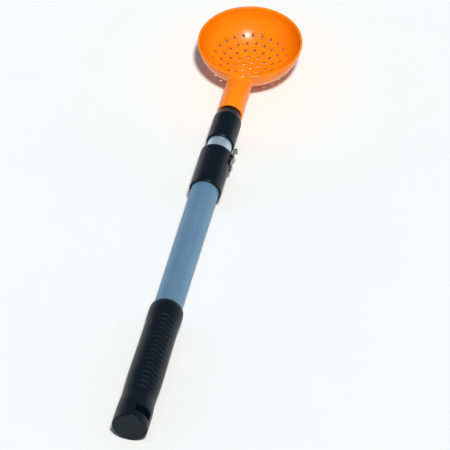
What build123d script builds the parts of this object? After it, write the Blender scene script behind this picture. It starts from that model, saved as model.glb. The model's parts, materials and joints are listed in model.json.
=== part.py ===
"""Long-handled fruit picker basket: a perforated bowl on a two-tube telescopic pole.

Frame: +Z up, the tool lies on its rest plane Z = 0 with its handle towards -Y and its bowl
towards +Y. The origin is on that plane under the middle of the tool. All sizes are in mm.

The pole leans a little, because the bowl is deeper than the grip is thick. Every piece of the
pole is drawn by its stations: distances along the pole's axis from the middle of the bowl,
counted towards the butt.
"""

import os
from math import asin, atan2, cos, degrees, hypot, pi, radians, sin

from build123d import *

# Bowl
bowl_radius = 51.2          # inside, at the mouth
bowl_depth = 37.3           # inside, below the mouth
bowl_wall = 1.8
lip_width = 0.5             # how far the lip stands out of the wall
lip_height = 2.0
foot_radius = 12.1          # flat pad under the bowl
hole_diameter = 3.2
first_ring_radius = 8.5
ring_pitch = 7.2
ring_count = 5
hole_pitch = 9.6            # along a ring
hole_web = 1.0              # least plastic between a hole and the socket

# Socket and the connector in it
nose_radius = 10.95
socket_fit = 0.05
socket_wall = 2.0
socket_length = 41.5        # from the lip to the socket's end
nose_gap = 5.5              # from the lip to the nose's tip
nose_bore_radius = 8.0
recess_length = 2.5         # bare nose between socket and shoulder
shoulder_step = 0.6         # shoulder's face beside the nose, outside the socket's bore
shoulder_length = 9.5
connector_length = 46.0     # seen, socket's end to connector's end
connector_wall = 2.25
connector_web = 5.0

# Tubes
outer_tube_radius = 14.0
tube_wall = 1.0
liner_wall = 0.65           # plastic between the two tubes
tube_fit = 0.05             # radial, tube in connector, liner, collar and grip
rest_gap = 15.0             # bare inner tube when the pole is pushed in
bare_tube = 166.0           # bare outer tube, collar to grip

# Lock collar and its liner
collar_length = 53.0
collar_wall = 2.35
collar_grip_length = 33.0   # outer tube held in the collar
collar_mouth_gap = 0.35     # radial, round the inner tube
collar_mouth_length = 2.0
liner_length = 70.0
lip_round = 1.2             # rounding of the collars' ends
boss_height = 0.8           # above the collar
boss_cheek = 2.7            # each side of the lever's pocket
boss_length = 12.0
boss_start = 1.8            # from the collar's mouth
tongue_length = 14.0        # springy tongue of the liner, under the cam
tongue_slit = 0.6

# Cam lever
lever_width = 7.0
lever_thickness = 1.2
lever_gap = 0.3             # lever to the boss and to the sides of its pocket
lever_reach = 17.2          # pin to finger tab, along the pole
lever_inset = 1.6           # how far the arm comes in again past the boss
lever_bend = 1.0
tab_height = 2.4            # finger tab, out of the arm
cam_wall = 0.55             # least round the pin
cam_throw = 0.4
cam_gap = 0.05
pocket_above_pin = 3.7      # towards the mouth
pocket_below_pin = 4.4      # room for the arm's root when it stands open
pin_radius = 1.0
pin_fit = 0.05
pin_end_gap = 0.5           # pin's end to the side of the boss

# Tail of the inner tube
groove_depth = 0.5
ring_length = 7.6
ring_end_play = 0.3
ring_slit = 1.2
groove_to_tail = 7.0        # tube past the groove
plug_flange = 2.0
tube_plug_length = 8.0
stop_gap = 0.3              # tail to the butt plug, pushed in

# Grip
grip_length = 161.0
grip_top_wall = 3.15        # rubber over the tube, here and at the next four places
grip_waist_wall = 2.5
grip_bulge_wall = 3.25
grip_neck_wall = 2.6
grip_butt_wall = 3.55
grip_mouth_wall = 0.65
grip_shoulder = 8.0
waist_from_top = 30.0
bulge_to_neck = 26.0
neck_to_butt = 38.0
butt_band = 22.0
butt_round = 1.5
butt_wall = 20.8            # solid rubber behind the tube
rib_count = 17
rib_pitch = 6.06
first_rib = 22.5            # from the grip's top
rib_groove_width = 3.0
rib_groove_depth = 0.55
rib_span = 66.0             # degrees of the grip that the ribs cover
rib_turn = 18.0             # degrees from the top, towards +X
slot_width = 18.0
slot_length = 9.5
slot_corner = 1.5
slot_to_butt = 13.2
slot_turn = 43.0            # degrees from the top, towards +X

# Fasteners, all on the underside
fastener_fit = 0.02
rivet_radius = 1.6
rivet_head_radius = 3.0
rivet_head_height = 1.0
rivet_dome = 0.8            # rounded share of the head's height
screw_radius = 1.5
screw_head_radius = 3.2
screw_head_height = 1.9
screw_slot_width = 0.8
screw_slot_depth = 0.8
screw_reach = 0.4           # tip past the nose's wall

match = 0.01                # for picking edges by their radius

# Radii that follow from those
rim_radius = bowl_radius + bowl_wall + lip_width
socket_bore_radius = nose_radius + socket_fit
socket_radius = socket_bore_radius + socket_wall
outer_bore_radius = outer_tube_radius - tube_wall
liner_radius = outer_bore_radius - tube_fit
liner_bore_radius = liner_radius - liner_wall
inner_tube_radius = liner_bore_radius - tube_fit
sleeve_bore_radius = inner_tube_radius + tube_fit
connector_radius = sleeve_bore_radius + connector_wall
inner_bore_radius = inner_tube_radius - tube_wall
collar_bore_radius = outer_tube_radius + tube_fit
collar_radius = collar_bore_radius + collar_wall
boss_face = collar_radius + boss_height
boss_half_width = lever_width / 2 + lever_gap + boss_cheek
cam_radius = pin_radius + pin_fit + cam_throw + cam_wall
grip_bore_radius = outer_tube_radius + tube_fit
grip_top_radius = grip_bore_radius + grip_top_wall
grip_waist_radius = grip_bore_radius + grip_waist_wall
grip_bulge_radius = grip_bore_radius + grip_bulge_wall
grip_neck_radius = grip_bore_radius + grip_neck_wall
grip_butt_radius = grip_bore_radius + grip_butt_wall

# Stations along the pole, from the bowl's middle towards the butt
socket_end = rim_radius + socket_length
nose_tip = rim_radius + nose_gap
screw_station = (nose_tip + socket_end) / 2
shoulder_start = socket_end + recess_length
shoulder_end = shoulder_start + shoulder_length
connector_end = socket_end + connector_length
tube_head = shoulder_end + connector_web
connector_rivet_station = (tube_head + connector_end) / 2
collar_start = connector_end + rest_gap
collar_end = collar_start + collar_length
tube_top = collar_end - collar_grip_length
collar_rivet_station = (tube_top + collar_end) / 2
liner_start = collar_start + collar_mouth_length
liner_end = liner_start + liner_length
grip_start = collar_end + bare_tube
butt = grip_start + grip_length
tube_end = butt - butt_wall - plug_flange
tube_plug_start = tube_end - tube_plug_length
tail_plug_end = tube_plug_start - stop_gap
tail_end = tail_plug_end - plug_flange
groove_end = tail_end - groove_to_tail
groove_length = ring_length + 2 * ring_end_play
groove_start = groove_end - groove_length
ring_start = groove_start + ring_end_play
tail_plug_start = groove_end + tube_wall + ring_end_play
pin_station = collar_start + boss_start + boss_length / 2
pin_offset = liner_radius + cam_gap + cam_radius + cam_throw
slot_station = butt - slot_to_butt

# The tool rests on the bowl's foot and on the butt's lower edge, and that sets the lean
axis_height = bowl_depth + bowl_wall - socket_radius
butt_edge = butt - butt_round
lean = asin(axis_height / hypot(butt_edge, grip_butt_radius)) - atan2(grip_butt_radius, butt_edge)
bowl_y = (butt * cos(lean) - rim_radius) / 2
rim_height = bowl_depth + bowl_wall

to_butt = (0, -cos(lean), -sin(lean))
pole_top = (0, -sin(lean), cos(lean))
pole_origin = (0, bowl_y, axis_height)
pole_axis = Axis(pole_origin, to_butt)
# A sketch on this plane is drawn as (radius towards +X, station)
outline_plane = Plane(origin=pole_origin, x_dir=(1, 0, 0), z_dir=(0, sin(lean), -cos(lean)))
bowl_axis = Axis((0, bowl_y, 0), (0, 0, 1))
bowl_plane = Plane(origin=(0, bowl_y, rim_height), x_dir=(1, 0, 0), z_dir=(0, -1, 0))


def across(station):
    """Plane across the pole at a station: local x is +X, local y the pole's top, z the butt."""
    origin = tuple(o + station * d for o, d in zip(pole_origin, to_butt))
    return Plane(origin=origin, x_dir=(1, 0, 0), z_dir=to_butt)


def beside(station, turn):
    """Plane on the pole's axis, whose normal points out at an angle from the pole's top."""
    base = across(station)
    outward = tuple(sin(radians(turn)) * (1, 0, 0)[k] + cos(radians(turn)) * pole_top[k] for k in range(3))
    return Plane(origin=base.origin, x_dir=to_butt, z_dir=outward)


def outline(*corners):
    """Flat closed shape from (radius, station) corners."""
    with BuildSketch(outline_plane) as shape:
        with BuildLine():
            Polyline(*corners, close=True)
        make_face()
    return shape.sketch


def tube_outline(inner, outer, start, end):
    """Half section of a plain tube."""
    return outline((inner, start), (outer, start), (outer, end), (inner, end))


def half_bowl(radius, depth):
    """Quarter ellipse that turns into the bowl's round form, below the mouth."""
    with BuildSketch(bowl_plane) as shape:
        with BuildLine():
            EllipticalCenterArc((0, 0), radius, depth, start_angle=270, arc_size=90)
            Line((radius, 0), (0, 0))
            Line((0, 0), (0, -depth))
        make_face()
    return shape.sketch


def hole_places():
    """Centres of the drain holes: rings about the middle, clear of the socket."""
    places = [(0.0, 0.0)]
    keep_out = socket_radius + hole_diameter / 2 + hole_web
    for ring in range(ring_count):
        radius = first_ring_radius + ring * ring_pitch
        count = round(2 * pi * radius / hole_pitch)
        step = 2 * pi / count
        # Every third ring is turned by half a hole
        start = pi / 2 + (step / 2 if ring % 3 == 1 else 0)
        below_rim = rim_height * (1 - (radius / (bowl_radius + bowl_wall)) ** 2) ** 0.5
        beside_socket = below_rim < 2 * socket_radius + hole_web
        for k in range(count):
            x, y = radius * cos(start + k * step), radius * sin(start + k * step)
            if beside_socket and y < 0 and abs(x) < keep_out:
                continue
            places.append((x, y))
    return places


def grip_radius_at(station):
    """Radius of the grip's ribbed stretch: straight lines between its waist, bulge and neck."""
    waist = (grip_start + waist_from_top, grip_waist_radius)
    neck = (butt - neck_to_butt, grip_neck_radius)
    bulge = (neck[0] - bulge_to_neck, grip_bulge_radius)
    if station < waist[0]:
        return grip_waist_radius
    near, far = (waist, bulge) if station < bulge[0] else (bulge, neck)
    return near[1] + (far[1] - near[1]) * (station - near[0]) / (far[0] - near[0])


os.makedirs("parts", exist_ok=True)


def save(piece, name):
    """Label a finished piece and write it."""
    piece.part.label = name
    export_step(piece.part, f"parts/{name}.step")


# Bowl with its socket: one moulding
with BuildPart() as basket_bowl:
    with BuildSketch(across(socket_end)):
        Circle(socket_radius)
    extrude(amount=-socket_end)
    with BuildSketch(across(socket_end)):
        Circle(socket_bore_radius)
    extrude(amount=-socket_end, mode=Mode.SUBTRACT)
    revolve(profiles=half_bowl(bowl_radius + bowl_wall, bowl_depth + bowl_wall), axis=bowl_axis)
    with BuildSketch(Plane.XY.offset(rim_height)):
        with Locations((0, bowl_y)):
            Circle(rim_radius)
    extrude(amount=-lip_height)
    with BuildSketch(Plane.XY):
        with Locations((0, bowl_y)):
            Circle(foot_radius)
    extrude(amount=bowl_wall)
    revolve(profiles=half_bowl(bowl_radius, bowl_depth), axis=bowl_axis, mode=Mode.SUBTRACT)
    with BuildSketch(Plane.XY.offset(rim_height)):
        with Locations(*[(x, bowl_y + y) for x, y in hole_places()]):
            Circle(hole_diameter / 2)
    extrude(amount=-rim_height, mode=Mode.SUBTRACT)
    with BuildSketch(beside(screw_station, 180)):
        Circle(screw_radius + fastener_fit)
    extrude(amount=socket_radius, mode=Mode.SUBTRACT)
save(basket_bowl, "basket_bowl")

# Connector: a nose for the socket, a sleeve for the inner tube
with BuildPart() as head_connector:
    revolve(profiles=outline(
        (nose_bore_radius, nose_tip), (nose_radius, nose_tip), (nose_radius, shoulder_start),
        (socket_bore_radius + shoulder_step, shoulder_start), (connector_radius, shoulder_end),
        (connector_radius, connector_end), (sleeve_bore_radius, connector_end),
        (sleeve_bore_radius, tube_head), (0, tube_head), (0, shoulder_end), (nose_bore_radius, shoulder_end),
    ), axis=pole_axis)
    outer_edges = head_connector.edges().filter_by(GeomType.CIRCLE).filter_by(
        lambda edge: abs(edge.radius - connector_radius) < match)
    fillet(outer_edges.sort_by(Axis.Y)[0], lip_round)
    with BuildSketch(beside(screw_station, 180)):
        Circle(screw_radius + fastener_fit)
    extrude(amount=socket_radius, mode=Mode.SUBTRACT)
    with BuildSketch(beside(connector_rivet_station, 180)):
        Circle(rivet_radius + fastener_fit)
    extrude(amount=connector_radius, mode=Mode.SUBTRACT)
save(head_connector, "head_connector")

# Screw that holds the bowl's socket to the nose
with BuildPart() as socket_screw:
    screw_plane = beside(screw_station, 180)
    with BuildSketch(screw_plane.offset(nose_bore_radius - screw_reach)):
        Circle(screw_radius)
    extrude(amount=socket_radius - nose_bore_radius + screw_reach)
    with BuildSketch(screw_plane.offset(socket_radius)):
        Circle(screw_head_radius)
    extrude(amount=screw_head_height)
    fillet(socket_screw.edges().filter_by(GeomType.CIRCLE).sort_by(Axis.Z)[0], screw_head_height / 2)
    with BuildSketch(screw_plane.offset(socket_radius + screw_head_height)):
        Rectangle(2 * screw_head_radius, screw_slot_width)
    extrude(amount=-screw_slot_depth, mode=Mode.SUBTRACT)
save(socket_screw, "socket_screw")


def rivet(station, inner, outer):
    """Domed rivet on the pole's underside, from the inner to the outer radius."""
    plane = beside(station, 180)
    with BuildPart() as piece:
        with BuildSketch(plane.offset(inner)):
            Circle(rivet_radius)
        extrude(amount=outer - inner)
        with BuildSketch(plane.offset(outer)):
            Circle(rivet_head_radius)
        extrude(amount=rivet_head_height)
        fillet(piece.edges().filter_by(GeomType.CIRCLE).sort_by(Axis.Z)[0], rivet_head_height * rivet_dome)
    return piece


save(rivet(connector_rivet_station, inner_bore_radius, connector_radius), "connector_rivet")

# Inner tube, with the rolled groove that carries the tail ring
with BuildPart() as inner_tube:
    revolve(profiles=outline(
        (inner_tube_radius, tube_head), (inner_tube_radius, groove_start),
        (inner_tube_radius - groove_depth, groove_start), (inner_tube_radius - groove_depth, groove_end),
        (inner_tube_radius, groove_end), (inner_tube_radius, tail_end),
        (inner_bore_radius, tail_end), (inner_bore_radius, groove_end + tube_wall),
        (inner_bore_radius - groove_depth, groove_end + tube_wall),
        (inner_bore_radius - groove_depth, groove_start - tube_wall),
        (inner_bore_radius, groove_start - tube_wall), (inner_bore_radius, tube_head),
    ), axis=pole_axis)
    with BuildSketch(beside(connector_rivet_station, 180)):
        Circle(rivet_radius + fastener_fit)
    extrude(amount=connector_radius, mode=Mode.SUBTRACT)
save(inner_tube, "inner_tube")

# Split guide ring in the groove
with BuildPart() as tail_ring:
    revolve(profiles=tube_outline(
        inner_tube_radius - groove_depth + tube_fit, liner_radius, ring_start, ring_start + ring_length,
    ), axis=pole_axis)
    with BuildSketch(beside(ring_start + ring_length / 2, 180)):
        Rectangle(2 * ring_length, ring_slit)
    extrude(amount=outer_tube_radius, mode=Mode.SUBTRACT)
save(tail_ring, "tail_ring")

# Plug in the inner tube's tail
with BuildPart() as tail_plug:
    revolve(profiles=outline(
        (0, tail_plug_start), (inner_bore_radius - tube_fit, tail_plug_start),
        (inner_bore_radius - tube_fit, tail_end), (inner_tube_radius - tube_fit, tail_end),
        (inner_tube_radius - tube_fit, tail_plug_end), (0, tail_plug_end),
    ), axis=pole_axis)
save(tail_plug, "tail_plug")

# Outer tube
with BuildPart() as outer_tube:
    revolve(profiles=tube_outline(outer_bore_radius, outer_tube_radius, tube_top, tube_end), axis=pole_axis)
    with BuildSketch(beside(collar_rivet_station, 180)):
        Circle(rivet_radius + fastener_fit)
    extrude(amount=collar_radius, mode=Mode.SUBTRACT)
save(outer_tube, "outer_tube")

# Plug in the outer tube's butt, which the tail plug comes down on
with BuildPart() as tube_plug:
    revolve(profiles=outline(
        (0, tube_plug_start), (liner_radius, tube_plug_start), (liner_radius, tube_end),
        (outer_tube_radius - tube_fit, tube_end), (outer_tube_radius - tube_fit, tube_end + plug_flange),
        (0, tube_end + plug_flange),
    ), axis=pole_axis)
save(tube_plug, "tube_plug")

# Lock collar: sleeve, mouth, and a boss whose pocket holds the cam lever
with BuildPart() as lock_collar:
    revolve(profiles=outline(
        (inner_tube_radius + collar_mouth_gap, collar_start), (collar_radius, collar_start),
        (collar_radius, collar_end), (collar_bore_radius, collar_end), (collar_bore_radius, tube_top),
        (outer_bore_radius, tube_top), (outer_bore_radius, liner_start),
        (inner_tube_radius + collar_mouth_gap, liner_start),
    ), axis=pole_axis)
    collar_edges = lock_collar.edges().filter_by(GeomType.CIRCLE).filter_by(
        lambda edge: abs(edge.radius - collar_radius) < match)
    fillet(collar_edges, lip_round)
    with BuildSketch(outline_plane):
        with Locations(((outer_tube_radius + boss_face) / 2, pin_station)):
            RectangleRounded(boss_face - outer_tube_radius, boss_length, boss_height)
    extrude(amount=boss_half_width, both=True)
    with BuildSketch(outline_plane):
        with Locations((boss_face, pin_station + (pocket_below_pin - pocket_above_pin) / 2)):
            Rectangle(2 * (boss_face - liner_bore_radius), pocket_below_pin + pocket_above_pin)
    extrude(amount=lever_width / 2 + lever_gap, both=True, mode=Mode.SUBTRACT)
    with BuildSketch(outline_plane):
        with Locations((pin_offset, pin_station)):
            Circle(pin_radius + fastener_fit)
    extrude(amount=boss_half_width, both=True, mode=Mode.SUBTRACT)
    with BuildSketch(beside(collar_rivet_station, 180)):
        Circle(rivet_radius + fastener_fit)
    extrude(amount=collar_radius + lip_round, mode=Mode.SUBTRACT)
save(lock_collar, "lock_collar")
save(rivet(collar_rivet_station, outer_bore_radius, collar_radius), "collar_rivet")

# Thin liner between the two tubes, with the tongue that the cam presses on
with BuildPart() as guide_liner:
    revolve(profiles=tube_outline(liner_bore_radius, liner_radius, liner_start, liner_end), axis=pole_axis)
    with BuildSketch(beside(liner_start, 90)):
        with GridLocations(0, lever_width + tongue_slit, 1, 2):
            Rectangle(2 * tongue_length, tongue_slit)
    extrude(amount=outer_tube_radius, mode=Mode.SUBTRACT)
save(guide_liner, "guide_liner")

# Cam lever: a bent strip whose root is an off-centre cam on the pin
with BuildPart() as clamp_lever:
    arm_over_boss = boss_face + lever_gap + lever_thickness / 2
    arm_inset = arm_over_boss - lever_inset
    boss_corner = pin_station - boss_length / 2
    tab_station = pin_station - lever_reach
    with BuildSketch(outline_plane):
        with BuildLine():
            FilletPolyline(
                (arm_inset + tab_height + lever_thickness / 2, tab_station), (arm_inset, tab_station),
                (arm_inset, boss_corner - 2 * lever_inset), (arm_over_boss, boss_corner - lever_gap),
                (arm_over_boss, pin_station - pocket_above_pin + lever_gap),
                (pin_offset + lever_thickness / 2, pin_station - lever_thickness),
                radius=lever_bend,
            )
        trace(line_width=lever_thickness)
        with Locations((pin_offset - cam_throw, pin_station)):
            Circle(cam_radius)
        with Locations((pin_offset, pin_station)):
            Circle(pin_radius + pin_fit, mode=Mode.SUBTRACT)
    extrude(amount=lever_width / 2, both=True)
save(clamp_lever, "clamp_lever")

# Pin of the cam lever
with BuildPart() as lever_pin:
    with BuildSketch(outline_plane):
        with Locations((pin_offset, pin_station)):
            Circle(pin_radius)
    extrude(amount=boss_half_width - pin_end_gap, both=True)
save(lever_pin, "lever_pin")

# Rubber grip: closed over the butt, ribbed on top, with a slot to hang it by
with BuildPart() as grip:
    neck_station = butt - neck_to_butt
    mouth_radius = grip_bore_radius + grip_mouth_wall
    with BuildSketch(outline_plane):
        with BuildLine():
            Line((0, butt), (grip_butt_radius, butt))
            Line((grip_butt_radius, butt), (grip_butt_radius, butt - butt_band))
            Spline(
                (grip_butt_radius, butt - butt_band), (grip_neck_radius, neck_station),
                (grip_bulge_radius, neck_station - bulge_to_neck),
                (grip_waist_radius, grip_start + waist_from_top),
                (grip_top_radius, grip_start + grip_shoulder), tangents=[(0, -1), (0, -1)],
            )
            Spline(
                (grip_top_radius, grip_start + grip_shoulder), (mouth_radius, grip_start),
                tangents=[(0, -1), (-1, 0)],
            )
            Line((mouth_radius, grip_start), (0, grip_start))
            Line((0, grip_start), (0, butt))
        make_face()
    revolve(axis=pole_axis)
    fillet(grip.edges().filter_by(GeomType.CIRCLE).sort_by(Axis.Y)[0], butt_round)
    with BuildSketch(across(grip_start)):
        Circle(grip_bore_radius)
    extrude(amount=tube_end + plug_flange - grip_start, mode=Mode.SUBTRACT)
    with BuildSketch(beside(slot_station, slot_turn)):
        RectangleRounded(slot_length, slot_width, slot_corner)
    extrude(amount=2 * grip_butt_radius, both=True, mode=Mode.SUBTRACT)
    for rib in range(rib_count):
        middle = grip_start + first_rib + rib * rib_pitch
        rib_floor = grip_radius_at(middle) - rib_groove_depth
        rib_mouth = rib_floor + 2 * rib_groove_depth
        groove = outline(
            (rib_floor, middle),
            (rib_mouth, middle - rib_groove_width),
            (rib_mouth, middle + rib_groove_width),
        )
        # From +X up towards the pole's top
        first_edge = groove.rotate(pole_axis, 90 - rib_turn - rib_span / 2)
        revolve(profiles=first_edge, axis=pole_axis, revolution_arc=rib_span, mode=Mode.SUBTRACT)
save(grip, "grip")

# What the record needs
print(f"lean {degrees(lean):.4f} degrees, bowl at y {bowl_y:.3f}, axis height {axis_height:.3f}")
print(f"lever pin at radius {pin_offset:.3f}, station {pin_station:.3f}")
print(f"telescope travel {ring_start - liner_end:.3f}, overall {butt + rim_radius:.3f}")
print(f"slot station {slot_station:.3f}, rim height {rim_height:.3f}")
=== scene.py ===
"""Looks of a long-handled fruit picker basket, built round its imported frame.

Everything is in metres in the frame's own axes: the tool lies on Z = 0, its bowl towards +Y. A piece
of the pole is drawn by its stations, the distances along the pole from the middle of the bowl
towards the butt, and by its radius and its turn about the pole, from the top towards +X.
"""

import json
import math

import bmesh
import bpy
import numpy as np
from mathutils import Matrix, Vector
from mathutils.geometry import delaunay_2d_cdt


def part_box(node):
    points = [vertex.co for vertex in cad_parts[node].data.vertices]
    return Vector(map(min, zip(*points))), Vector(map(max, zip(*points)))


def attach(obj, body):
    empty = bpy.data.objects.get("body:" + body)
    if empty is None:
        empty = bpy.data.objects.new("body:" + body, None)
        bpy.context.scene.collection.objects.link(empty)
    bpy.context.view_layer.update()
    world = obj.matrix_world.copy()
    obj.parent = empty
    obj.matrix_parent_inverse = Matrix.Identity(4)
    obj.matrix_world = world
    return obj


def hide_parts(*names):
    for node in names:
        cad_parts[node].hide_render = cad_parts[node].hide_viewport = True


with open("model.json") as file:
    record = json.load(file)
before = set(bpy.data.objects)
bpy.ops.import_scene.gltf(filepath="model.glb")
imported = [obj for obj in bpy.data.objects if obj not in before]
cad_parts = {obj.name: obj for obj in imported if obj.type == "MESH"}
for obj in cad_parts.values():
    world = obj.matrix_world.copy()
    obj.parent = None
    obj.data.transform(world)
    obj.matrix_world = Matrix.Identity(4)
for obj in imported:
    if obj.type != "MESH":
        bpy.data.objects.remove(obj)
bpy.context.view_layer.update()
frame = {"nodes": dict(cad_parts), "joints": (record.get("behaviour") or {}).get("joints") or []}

bl_info = {
    "name": "Fruit picker basket",
    "version": (1, 0, 0),
    "blender": (4, 5, 0),
    "location": "View3D > Sidebar > Picker",
    "description": "Finishes a perforated picking bowl on a telescopic pole",
    "category": "Add Mesh",
}

MM = 0.001
WELD = 1e-6          # points nearer than this are one point
ON_EDGE = 1e-7       # a point nearer to an edge than this is on it
FIT = 0.05 * MM      # play between pieces pushed together
SUPPORT = 0.15 * MM  # flat strip beside a rounding, which keeps the shading flat
ROUND_STEPS = 6      # steps in a quarter of a rounding
POLE_COLUMNS = 192   # points round a piece of the pole
BOWL_COLUMNS = 240   # points round the bowl's rim
GRIP_COLUMNS = 240   # points round the grip
HOLE_COLUMNS = 24    # points round a drain hole
BOWL_SPACING = 1.3 * MM  # between points in the pierced part of the bowl


# ---------------------------------------------------------------- places taken from the frame

class AxisFrame:
    """A straight axis, with the two directions square to it that a turn is counted from."""

    def __init__(self, origin, along, top, side):
        self.origin, self.along = np.array(origin, float), np.array(along, float)
        self.top, self.side = np.array(top, float), np.array(side, float)

    def point(self, station, radius, turn):
        """origin + station * along + radius * (cos(turn) * top + sin(turn) * side), as whole arrays."""
        station, radius, turn = np.broadcast_arrays(station, radius, turn)
        outward = np.cos(turn)[..., None] * self.top + np.sin(turn)[..., None] * self.side
        return self.origin + station[..., None] * self.along + radius[..., None] * outward

    def measure(self, points):
        """Station and radius of points."""
        offset = points - self.origin
        return offset @ self.along, np.hypot(offset @ self.top, offset @ self.side)


def cad_points(node):
    """All the vertices of a CAD node."""
    mesh = frame["nodes"][node].data
    flat = np.empty(3 * len(mesh.vertices), np.float32)
    mesh.vertices.foreach_get("co", flat)
    return flat.reshape(-1, 3).astype(float)


swivel = next(joint for joint in frame["joints"] if joint["name"] == "basket_swivel")
to_bowl = np.array(swivel["axis"], float) / np.linalg.norm(swivel["axis"])
side_way = np.array((1.0, 0.0, 0.0))
pole = AxisFrame(swivel["pos_m"], -to_bowl, np.cross(side_way, to_bowl), side_way)
rim_height = float(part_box("basket_bowl")[1].z)
bowl = AxisFrame((0, swivel["pos_m"][1], 0), (0, 0, 1), (0, 1, 0), (1, 0, 0))


def reach(node):
    """First and last station, least and greatest radius of a CAD node on the pole."""
    station, radius = pole.measure(cad_points(node))
    return station.min(), station.max(), radius.min(), radius.max()


# ---------------------------------------------------------------- sizes and colours to change

def length(name, description, millimetres):
    """A length property, with its default in millimetres."""
    return bpy.props.FloatProperty(
        name=name, description=description, default=millimetres * MM, min=0.0, unit="LENGTH")


def colour(name, description, default):
    """A colour property."""
    return bpy.props.FloatVectorProperty(
        name=name, description=description, default=default, min=0.0, max=1.0, size=3, subtype="COLOR")


class PickerBowlSizes(bpy.types.PropertyGroup):
    """Sizes of the bowl and its socket."""
    mouth_radius: length("Mouth radius", "Inside radius of the bowl at its mouth", 51.2)
    depth: length("Depth", "Inside depth of the bowl", 37.3)
    wall: length("Wall", "Thickness of the bowl's wall", 1.8)
    lip_width: length("Lip width", "How far the lip stands out of the wall", 0.5)
    lip_height: length("Lip height", "Height of the lip's outer face", 2.0)
    lip_round: length("Lip rounding", "Rounding of the lip's upper edges", 0.75)
    foot_radius: length("Foot radius", "Radius of the flat pad under the bowl", 12.1)
    hole_radius: length("Hole radius", "Radius of a drain hole", 1.6)
    hole_round: length("Hole rounding", "Rounding of a drain hole's edges", 0.15)
    first_ring: length("First ring", "Radius of the innermost ring of holes", 8.5)
    ring_pitch: length("Ring pitch", "Distance from one ring of holes to the next", 7.2)
    hole_pitch: length("Hole pitch", "Distance between holes along a ring", 9.6)
    ring_count: bpy.props.IntProperty(name="Rings", description="Rings of holes", default=5, min=1)
    socket_blend: length("Socket blend", "Reach of the hollow rounding at the socket's root", 3.6)
    socket_round: length("Socket rounding", "Rounding of the socket's open end", 0.6)
    socket_wall: length("Socket wall", "Thickness of the socket's wall", 2.0)


class PickerPoleSizes(bpy.types.PropertyGroup):
    """Sizes of the pole's pieces that the frame doesn't give."""
    nose_radius: length("Nose radius", "Radius of the connector's nose", 10.95)
    recess: length("Recess", "Bare nose between the socket and the connector's shoulder", 2.5)
    shoulder_step: length("Shoulder step", "Face of the shoulder beside the nose", 0.65)
    shoulder: length("Shoulder length", "Length of the connector's taper", 9.5)
    web: length("Web", "Solid web between the taper and the inner tube", 5.0)
    end_round: length("End rounding", "Rounding of the connector's lower end", 1.6)
    tube_wall: length("Tube wall", "Wall of both tubes", 1.0)
    tube_round: length("Tube rounding", "Rounding of the tubes' cut ends", 0.25)
    groove_depth: length("Groove depth", "Depth of the rolled groove at the inner tube's tail", 0.5)


class PickerGripSizes(bpy.types.PropertyGroup):
    """Sizes of the rubber grip."""
    mouth_wall: length("Mouth wall", "Rubber over the tube at the grip's mouth", 0.65)
    top_wall: length("Top wall", "Rubber over the tube past the shoulder", 3.15)
    waist_wall: length("Waist wall", "Rubber over the tube at the waist", 2.5)
    bulge_wall: length("Bulge wall", "Rubber over the tube at the bulge", 3.25)
    neck_wall: length("Neck wall", "Rubber over the tube at the neck", 2.6)
    shoulder: length("Shoulder", "Length of the rounded shoulder", 8.0)
    waist: length("Waist", "From the grip's top to its waist", 30.0)
    bulge: length("Bulge", "From the butt to the bulge", 64.0)
    neck: length("Neck", "From the butt to the neck", 38.0)
    band: length("Butt band", "Length of the straight band at the butt", 22.0)
    butt_round: length("Butt rounding", "Rounding of the butt's edge", 1.5)
    groove_depth: length("Groove depth", "Depth of the grooves between the ribs", 0.55)
    groove_width: length("Groove width", "Width of a groove", 3.0)
    rib_pitch: length("Rib pitch", "Distance from rib to rib", 6.06)
    first_rib: length("First rib", "From the grip's top to its first groove", 22.5)
    rib_count: bpy.props.IntProperty(name="Ribs", description="Grooves in the grip", default=17, min=0)
    rib_span: bpy.props.FloatProperty(
        name="Rib span", description="How far round the grip the grooves reach",
        default=math.radians(66), subtype="ANGLE")
    rib_turn: bpy.props.FloatProperty(
        name="Rib turn", description="Middle of the ribs, from the top towards +X",
        default=math.radians(18), subtype="ANGLE")
    slot_width: length("Slot width", "Hanging slot, across the grip", 18.0)
    slot_length: length("Slot length", "Hanging slot, along the grip", 9.5)
    slot_corner: length("Slot corner", "Corner radius of the hanging slot", 1.5)
    slot_round: length("Slot rounding", "Rounding of the slot's edges", 0.5)
    slot_to_butt: length("Slot to butt", "From the middle of the slot to the butt", 13.2)
    slot_turn: bpy.props.FloatProperty(
        name="Slot turn", description="Direction of the slot, from the top towards +X",
        default=math.radians(43), subtype="ANGLE")


class PickerColours(bpy.types.PropertyGroup):
    """Colours of the finishes."""
    orange: colour("Orange", "Moulded bowl", (0.96, 0.245, 0.001))
    orange_deep: colour("Deep orange", "Darker clouds in the moulded bowl", (0.90, 0.205, 0.0005))
    black: colour("Black", "Connector and lock collar", (0.0020, 0.0058, 0.0105))
    rubber: colour("Rubber", "Grip", (0.0018, 0.0062, 0.0102))
    # The outer tube's blue is partly its own blue-grey and partly a painted reflection of a blue sky.
    outer_alloy: colour("Outer tube", "Anodised outer tube", (0.165, 0.31, 0.46))
    # The inner tube is silver: the blue in its colour is a painted reflection of a blue sky.
    inner_alloy: colour("Inner tube", "Bright inner tube", (0.60, 0.75, 0.86))
    steel: colour("Lever", "Dulled strip steel", (0.36, 0.35, 0.29))
    bright_steel: colour("Fasteners", "Plated steel and rivets", (0.55, 0.55, 0.54))
    nylon: colour("Nylon", "Liner and tail ring", (0.78, 0.76, 0.68))
    floor: colour("Floor", "Studio floor", (0.86, 0.86, 0.86))


# ---------------------------------------------------------------- shader expressions

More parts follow.
